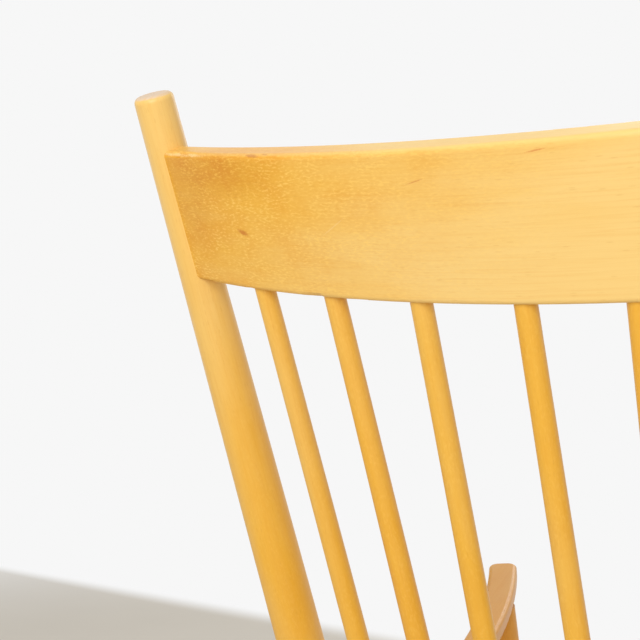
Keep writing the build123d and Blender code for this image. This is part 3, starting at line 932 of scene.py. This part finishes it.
@dataclass
class Base:
    """Legs, arms, runners, seat rails, stretchers and pins."""

    beech: BeechFinish
    # Arms and front legs are tinted darker and warmer: painted shade, for the arms in shade and the
    # legs in the arms' shadow.
    arm_tint: Triple = (0.87, 0.71, 0.54)
    leg_tint: Triple = (0.92, 0.74, 0.52)
    pin_tint: Triple = (0.86, 0.74, 0.70)
    runner_radius: float = 1.077
    contact_y: float = -0.0216
    contact_lift: float = 0.023

    def build(self) -> None:
        """Dresses the base's pieces."""
        self._straight()
        self._runners()
        self._pins()

    def _straight(self) -> None:
        """Dresses the legs, seat rails, stretchers and arms, with painted shade on the arms and
        front legs.
        """
        sides, levels = ("left", "right"), ("upper", "lower")
        nodes = [
            *(f"front_leg_{side}" for side in sides),
            *(f"seat_rail_{place}" for place in ("front", "rear", *sides)),
            *(f"front_stretcher_{level}" for level in levels),
            "rear_stretcher",
            *(f"side_stretcher_{side}_{level}" for side in sides for level in levels),
            *(f"arm_{side}" for side in sides),
        ]
        # Painted shade for the arms and front legs; the other pieces get a slight tone of their
        # own.
        painted_shade_tints = {"front_leg": self.leg_tint, "arm": self.arm_tint}
        for number, node in enumerate(nodes):
            shade = 1.0 - 0.018 * (number % 4)
            tint = painted_shade_tints.get(node.rpartition("_")[0], (1.0, shade, shade**2))
            cut = Cut(pith_beside(0.07, 1.7 * number), tint=tint)
            self.beech.dress(node, StraightGrain(*axis_of(node)), cut)

    def _runners(self) -> None:
        """Dresses the two bent runners."""
        down, aside = Vector((0.0, 0.0, -1.0)), Vector((1.0, 0.0, 0.0))
        height = self.runner_radius + self.contact_lift
        for side, sign in (("left", 1.0), ("right", -1.0)):
            low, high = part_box(f"runner_{side}")
            centre = Vector(((low.x + high.x) / 2, self.contact_y, height))
            grain = BentGrain(centre, down, aside, self.runner_radius)
            self.beech.dress(f"runner_{side}", grain, Cut((0.0, 0.02 * sign, -0.16), flecks=0.4))

    def _pins(self) -> None:
        """Dresses the pins, whose ends show their end grain."""
        ahead, aside = Vector((0.0, -0.92, 0.39)), Vector((1.0, 0.0, 0.0))
        cut = Cut((0.0, 0.02, 0.01), tone=0.1, flecks=0.2, tint=self.pin_tint)
        for place, along in (("crest_rail", ahead), ("lower_rail", ahead), ("runner", aside)):
            low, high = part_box(f"{place}_pins")
            self.beech.dress(f"{place}_pins", StraightGrain((low + high) / 2, along), cut)


class Rail(Enum):
    """The seat rail that a field of cords wraps."""

    FRONT = "front"
    REAR = "rear"
    LEFT = "left"
    RIGHT = "right"

    @property
    def is_end(self) -> bool:
        """Whether it is the front or the rear rail."""
        return self in (Rail.FRONT, Rail.REAR)

    @property
    def sign(self) -> int:
        """1 for the front and left rails, and -1 for the ones opposite."""
        return 1 if self in (Rail.FRONT, Rail.LEFT) else -1


def within(value: float) -> float:
    """A value kept from 0 to 1."""
    return min(1.0, max(0.0, value))


@dataclass
class WovenSeat:
    """The paper-cord seat, woven in four fields that meet in mitred seams.

    Sizes are in millimetres on the seat plane, from the front rail's axis, apart from front_axis.
    A seam has its height at the corner and its rise from there. The cuts are distances from a seam
    where a field gets vertices.
    """

    cord: PaperCordFinish
    card: KraftCardFinish
    front_axis: Vector = Vector((0.0, -0.304635, 0.404))
    slope: float = math.radians(5.3)
    depth: float = 359.77
    front_half: float = 281.18
    rear_half: float = 260.86
    end_core: float = 14.25
    side_core: float = 13.25
    side_drop: float = 14.5
    thickness: float = 1.75
    end_cords: tuple[int, int] = (147, 135)
    side_cords: int = 87
    front_corner: Pair = (20.0, 20.0)
    rear_corner: Pair = (23.5, 33.0)
    top_seam: Pair = (7.0, 9.0)
    bottom_seam: Pair = (-20.0, -8.0)
    seam_run: float = 0.6
    past_seam: float = 1.0
    crown: float = 2.6
    dip: float = 2.6
    dip_reach: float = 6.0
    cuts: tuple[float, ...] = (6.0, 3.4, 1.5, 0.0)
    wobble: float = 0.22
    wobble_scale: Pair = (0.9, 0.03)
    rows: tuple[int, int, int] = (11, 8, 9)
    lane_edge: float = 0.001
    card_cells: tuple[int, int] = (44, 30)
    card_over: Pair = (6.0, 8.0)
    card_notch: Triple = (21.0, 22.0, 34.0)
    card_edge: float = 0.2
    card_gap: float = 4.5
    made: list[bpy.types.Object] = field(default_factory=list)

    def half_at(self, y: float) -> float:
        """Half the distance between the side rails' axes, so far behind the front rail."""
        return self.front_half + (self.rear_half - self.front_half) * y / self.depth

    def wrap_of(self, rail: Rail) -> Pair:
        """The radius of the cords round a rail, and how far it lies below the front rail."""
        core, drop = (self.end_core, 0.0) if rail.is_end else (self.side_core, self.side_drop)
        return core + self.thickness, drop

    def corners(self) -> tuple[Vector, Vector, Vector]:
        """The seams' ends on the left half.

        Returns:
            The front corner, the rear corner, and the point where their seams meet.
        """
        front_y, rear_y = self.front_corner[1], self.depth - self.rear_corner[1]
        front = Vector((self.half_at(front_y) - self.front_corner[0], front_y))
        rear = Vector((self.half_at(rear_y) - self.rear_corner[0], rear_y))
        run = (rear.y - front.y + (front.x - rear.x)) / 2
        return front, rear, Vector((front.x - run, front.y + run))

    def seam_share(self, x: float, y: float, rail: Rail) -> Pair:
        """How far along its seam and along its own cord a point lies.

        Args:
            x: its distance from the middle.
            y: its distance behind the front rail.
            rail: the rail that its cord wraps.

        Returns:
            The share along the seam from the corner, and along the cord from the rail.
        """
        front, rear, apex = self.corners()
        x = abs(x)
        if rail.is_end:
            corner = front if rail is Rail.FRONT else rear
            share = within((corner.x - x) / (corner.x - apex.x))
            seam_y = corner.y + (apex.y - corner.y) * share
            if rail is Rail.FRONT:
                return share, within(y / seam_y)
            return share, within((self.depth - y) / (self.depth - seam_y))
        corner = front if y < apex.y else rear
        share = within((y - corner.y) / (apex.y - corner.y))
        seam_x = corner.x + (apex.x - corner.x) * share
        return share, within((self.half_at(y) - x) / (self.half_at(y) - seam_x))

    def level(self, x: float, y: float, rail: Rail, upper: bool) -> float:
        """The height of the cords' backs over the seat plane.

        Args:
            x: the distance from the middle.
            y: the distance behind the front rail.
            rail: the rail that the cords wrap.
            upper: whether it is the upper side.

        Returns:
            The height.
        """
        share, reach = self.seam_share(x, y, rail)
        radius, drop = self.wrap_of(rail)
        start = (radius if upper else -radius) - drop
        corner, rise = self.top_seam if upper else self.bottom_seam
        eased = within(share / self.seam_run)
        seam = corner + rise * (eased * eased * (3 - 2 * eased))
        if not (upper and rail.is_end):
            reach *= 2 - reach
        crown = self.crown * math.sin(math.pi * y / self.depth) * (1 - (x / self.half_at(y)) ** 2)
        return start + (seam - start) * reach + (crown if upper else 0.0)

    def to_field(self, point: Vector, rail: Rail) -> Vector:
        """A point of the seat in a field's distances.

        Args:
            point: the point.
            rail: the rail that the field wraps.

        Returns:
            Its distances along the rail and inward from it.
        """
        x, y = point
        if rail.is_end:
            return Vector((rail.sign * x, y if rail is Rail.FRONT else self.depth - y))
        return Vector((rail.sign * y, self.half_at(y) - rail.sign * x))

    def from_field(self, along: float, inward: float, rail: Rail) -> Pair:
        """The reverse of to_field.

        Args:
            along: the distance along the rail.
            inward: the distance inward from it.
            rail: the rail that the field wraps.

        Returns:
            The point of the seat.
        """
        place = rail.sign * along
        if rail.is_end:
            return place, inward if rail is Rail.FRONT else self.depth - inward
        return rail.sign * (self.half_at(place) - inward), place

    def build(self) -> None:
        """Makes the seat's four fields of cord and its packing."""
        cord = self.cord.material()
        for rail in Rail:
            self._field(rail, cord)
        self._packing(self.card.material())
        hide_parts("seat_weave")
        for piece in self.made:
            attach(piece, "root")
            log.info("%s: %d faces", piece.name, len(piece.data.polygons))

    def _outline(self, rail: Rail) -> tuple[float, float, int, list[Seam]]:
        """Where a field starts and ends along its rail, its cords and its seams.

        Args:
            rail: the rail that it wraps.

        Returns:
            The start, the end, the number of cords, and each seam in the field's distances.
        """
        front, rear, apex = self.corners()
        if rail.is_end:
            corner = front if rail is Rail.FRONT else rear
            mirror = Vector((-1.0, 1.0))
            seams = [(corner, apex), (corner * mirror, apex * mirror), (apex, apex * mirror)]
            start, end = -corner.x, corner.x
            count = self.end_cords[0 if rail is Rail.FRONT else 1]
        else:
            side = Vector((rail.sign, 1.0))
            seams = [(corner * side, apex * side) for corner in (front, rear)]
            start, end = sorted(rail.sign * corner.y for corner in (front, rear))
            count = self.side_cords
        placed = [tuple(self.to_field(point, rail) for point in seam) for seam in seams]
        return start, end, count, placed

    def _field(self, rail: Rail, material: bpy.types.Material) -> None:
        """Makes one field of cords, from its upper seams round the rail to its lower ones.

        Args:
            rail: the rail that it wraps.
            material: the cord's material.
        """
        core = self.wrap_of(rail)[0] - self.thickness
        start, end, count, seams = self._outline(rail)
        width = (end - start) / count
        deepest = max(point.y for seam in seams for point in seam) + self.past_seam
        shape = bmesh.new()
        run_of = shape.verts.layers.float.new("run")
        edges = self._row_of_backs(shape, start, width, count)
        bmesh.ops.translate(shape, verts=shape.verts, vec=(0.0, deepest, core))
        inward, bends, outward = self.rows
        steps = [(-deepest / inward, 0.0)] * inward + [(0.0, math.pi / bends)] * bends
        steps += [(deepest / outward, 0.0)] * outward
        run = 0.0
        for slide, bend in steps:
            grown = bmesh.ops.extrude_edge_only(shape, edges=edges)["geom"]
            verts = [part for part in grown if isinstance(part, bmesh.types.BMVert)]
            edges = [part for part in grown if isinstance(part, bmesh.types.BMEdge)]
            fresh = set(verts)
            edges = [edge for edge in edges if fresh.issuperset(edge.verts)]
            if bend:
                turn = Matrix.Rotation(bend, 3, "X")
                bmesh.ops.rotate(shape, verts=verts, cent=(0.0, 0.0, 0.0), matrix=turn)
            bmesh.ops.translate(shape, verts=verts, vec=(0.0, slide, 0.0))
            run += abs(slide) + bend * core
            for vert in verts:
                vert[run_of] = run
        self._cut_at_seams(shape, seams)
        lane = shape.loops.layers.uv.new("cord")
        for face in shape.faces:
            number = math.floor((face.calc_center_median().x - start) / width)
            low, high = number + self.lane_edge, number + 1 - self.lane_edge
            for loop in face.loops:
                place = min(high, max(low, (loop.vert.co.x - start) / width))
                loop[lane].uv = (loop.vert[run_of] * MM, place)
        self._settle(shape, rail, seams)
        self._finish(shape, f"cord_weave_{rail.value}", material)

    def _row_of_backs(
        self, shape: BMesh, start: float, width: float, count: int
    ) -> list[bmesh.types.BMEdge]:
        """The rounded backs of a row of cords, as one line of edges.

        Args:
            shape: the mesh that gets them.
            start: where the row starts.
            width: one cord's width.
            count: the number of cords.

        Returns:
            The row's edges.
        """
        made = bmesh.ops.create_circle(shape, segments=8, radius=1.0)["verts"]
        upright = Matrix.Rotation(math.pi / 2, 3, "X")
        bmesh.ops.rotate(shape, verts=made, cent=(0.0, 0.0, 0.0), matrix=upright)
        lower = [vert for vert in made if vert.co.z < -0.01]
        bmesh.ops.delete(shape, geom=lower, context="VERTS")
        bmesh.ops.scale(shape, verts=shape.verts, vec=(width / 2, 1.0, self.thickness))
        bmesh.ops.translate(shape, verts=shape.verts, vec=(start + width / 2, 0.0, 0.0))
        first = list(shape.verts) + list(shape.edges)
        for number in range(1, count):
            copied = bmesh.ops.duplicate(shape, geom=first)["geom"]
            verts = [part for part in copied if isinstance(part, bmesh.types.BMVert)]
            bmesh.ops.translate(shape, verts=verts, vec=(number * width, 0.0, 0.0))
        bmesh.ops.remove_doubles(shape, verts=shape.verts, dist=0.01)
        return list(shape.edges)

    def _cut_at_seams(self, shape: BMesh, seams: list[Seam]) -> None:
        """Cuts a field off at its seams, with rows of vertices beside each.

        Args:
            shape: the field's mesh.
            seams: its seams.
        """
        for first, second in seams:
            along = (second - first).normalized()
            out = Vector((-along.y, along.x))
            if out.y < 0:
                out = -out
            for inset in self.cuts:
                bmesh.ops.bisect_plane(
                    shape,
                    geom=list(shape.verts) + list(shape.edges) + list(shape.faces),
                    dist=0.001,
                    plane_co=(first.x - out.x * inset, first.y - out.y * inset, 0.0),
                    plane_no=(out.x, out.y, 0.0),
                    clear_outer=inset == 0.0,
                )

    def _settle(self, shape: BMesh, rail: Rail, seams: list[Seam]) -> None:
        """Lays a field's cords over the packing and puts the field in its place.

        Args:
            shape: the field's mesh.
            rail: the rail that it wraps.
            seams: its seams.
        """
        radius, drop = self.wrap_of(rail)
        for vert in shape.verts:
            along, inward, height = vert.co
            x, y = self.from_field(along, inward, rail)
            if inward > 0:
                sunk = radius + self._sunk(Vector((along, inward)), seams)
                spot = (along * self.wobble_scale[0], inward * self.wobble_scale[1], drop)
                upper = height > 0
                height += self.level(x, y, rail, upper) + (-sunk if upper else sunk)
                height += self.wobble * noise.noise(Vector(spot))
            else:
                height -= drop
            vert.co = Vector((x, y, height))
        bmesh.ops.recalc_face_normals(shape, faces=shape.faces)

    def _sunk(self, point: Vector, seams: list[Seam]) -> float:
        """How far a cord dives into the nearest seam at a point.

        Args:
            point: the point, in the field's distances.
            seams: the field's seams.

        Returns:
            The depth.
        """
        nearest = self.dip_reach
        for first, second in seams:
            along = (second - first).normalized()
            offset = point - first
            nearest = min(nearest, abs(along.x * offset.y - along.y * offset.x))
        return self.dip * (1 - nearest / self.dip_reach) ** 2

    def _packing(self, material: bpy.types.Material) -> None:
        """Makes the packing between the two layers of cord.

        Args:
            material: the card's material.
        """
        shape = bmesh.new()
        across, deep = self.card_cells
        bmesh.ops.create_grid(shape, x_segments=across, y_segments=deep, size=0.5)
        over_x, over_y = self.card_over
        for vert in shape.verts:
            y = (vert.co.y + 0.5) * (self.depth + 2 * over_y) - over_y
            x = 2 * vert.co.x * (self.half_at(y) + over_x)
            vert.co = Vector((x, y, 0.0))
        notch, front, rear = self.card_notch
        doomed = []
        for face in shape.faces:
            middle = face.calc_center_median()
            outside = abs(middle.x) > self.half_at(middle.y) - notch
            if outside and (middle.y < front or middle.y > self.depth - rear):
                doomed.append(face)
        bmesh.ops.delete(shape, geom=doomed, context="FACES")
        grown = bmesh.ops.extrude_face_region(shape, geom=list(shape.faces))["geom"]
        lower = {part for part in grown if isinstance(part, bmesh.types.BMVert)}
        for vert in shape.verts:
            x, y = vert.co.x, vert.co.y
            rail = self._field_at(x, y)
            thick = within(min(y, self.depth - y) / over_y + self.card_edge)
            high = self.level(x, y, rail, True) - self.card_gap
            low = self.level(x, y, rail, False) + self.card_gap
            middle = (high + low) / 2
            vert.co.z = middle + ((low if vert in lower else high) - middle) * thick
        bmesh.ops.recalc_face_normals(shape, faces=shape.faces)
        self._finish(shape, "seat_packing", material)

    def _field_at(self, x: float, y: float) -> Rail:
        """The field that covers a point of the seat, with the left one for both sides.

        Args:
            x: the point's distance from the middle.
            y: its distance behind the front rail.

        Returns:
            The rail that the field wraps.
        """
        front, rear, apex = self.corners()
        if y < apex.y:
            seam_y = front.y + max(0.0, front.x - abs(x))
            return Rail.FRONT if y < seam_y or abs(x) < apex.x else Rail.LEFT
        seam_y = rear.y - max(0.0, rear.x - abs(x))
        return Rail.REAR if y > seam_y or abs(x) < apex.x else Rail.LEFT

    def _finish(self, shape: BMesh, name: str, material: bpy.types.Material) -> None:
        """Puts a mesh in the seat's place and makes its object.

        Args:
            shape: the mesh, in millimetres on the seat plane.
            name: the piece's name.
            material: its material.
        """
        place = Matrix.Translation(self.front_axis) @ Matrix.Rotation(-self.slope, 4, "X")
        bmesh.ops.transform(shape, matrix=place @ Matrix.Scale(MM, 4), verts=shape.verts)
        mesh = bpy.data.meshes.new(name)
        shape.to_mesh(mesh)
        shape.free()
        mesh.polygons.foreach_set("use_smooth", [True] * len(mesh.polygons))
        mesh.materials.append(material)
        self.made.append(add_object(name, mesh))


def main() -> None:
    """Builds the room and dresses the chair."""
    logging.basicConfig(level=logging.INFO, format="%(message)s")
    CloseUpCamera().build()
    Studio().build()
    beech = BeechFinish(BeechFigure(BeechTone(), BeechPattern()))
    Back(beech).build()
    Base(beech).build()
    WovenSeat(PaperCordFinish(), KraftCardFinish()).build()


if __name__ == "__main__":
    main()
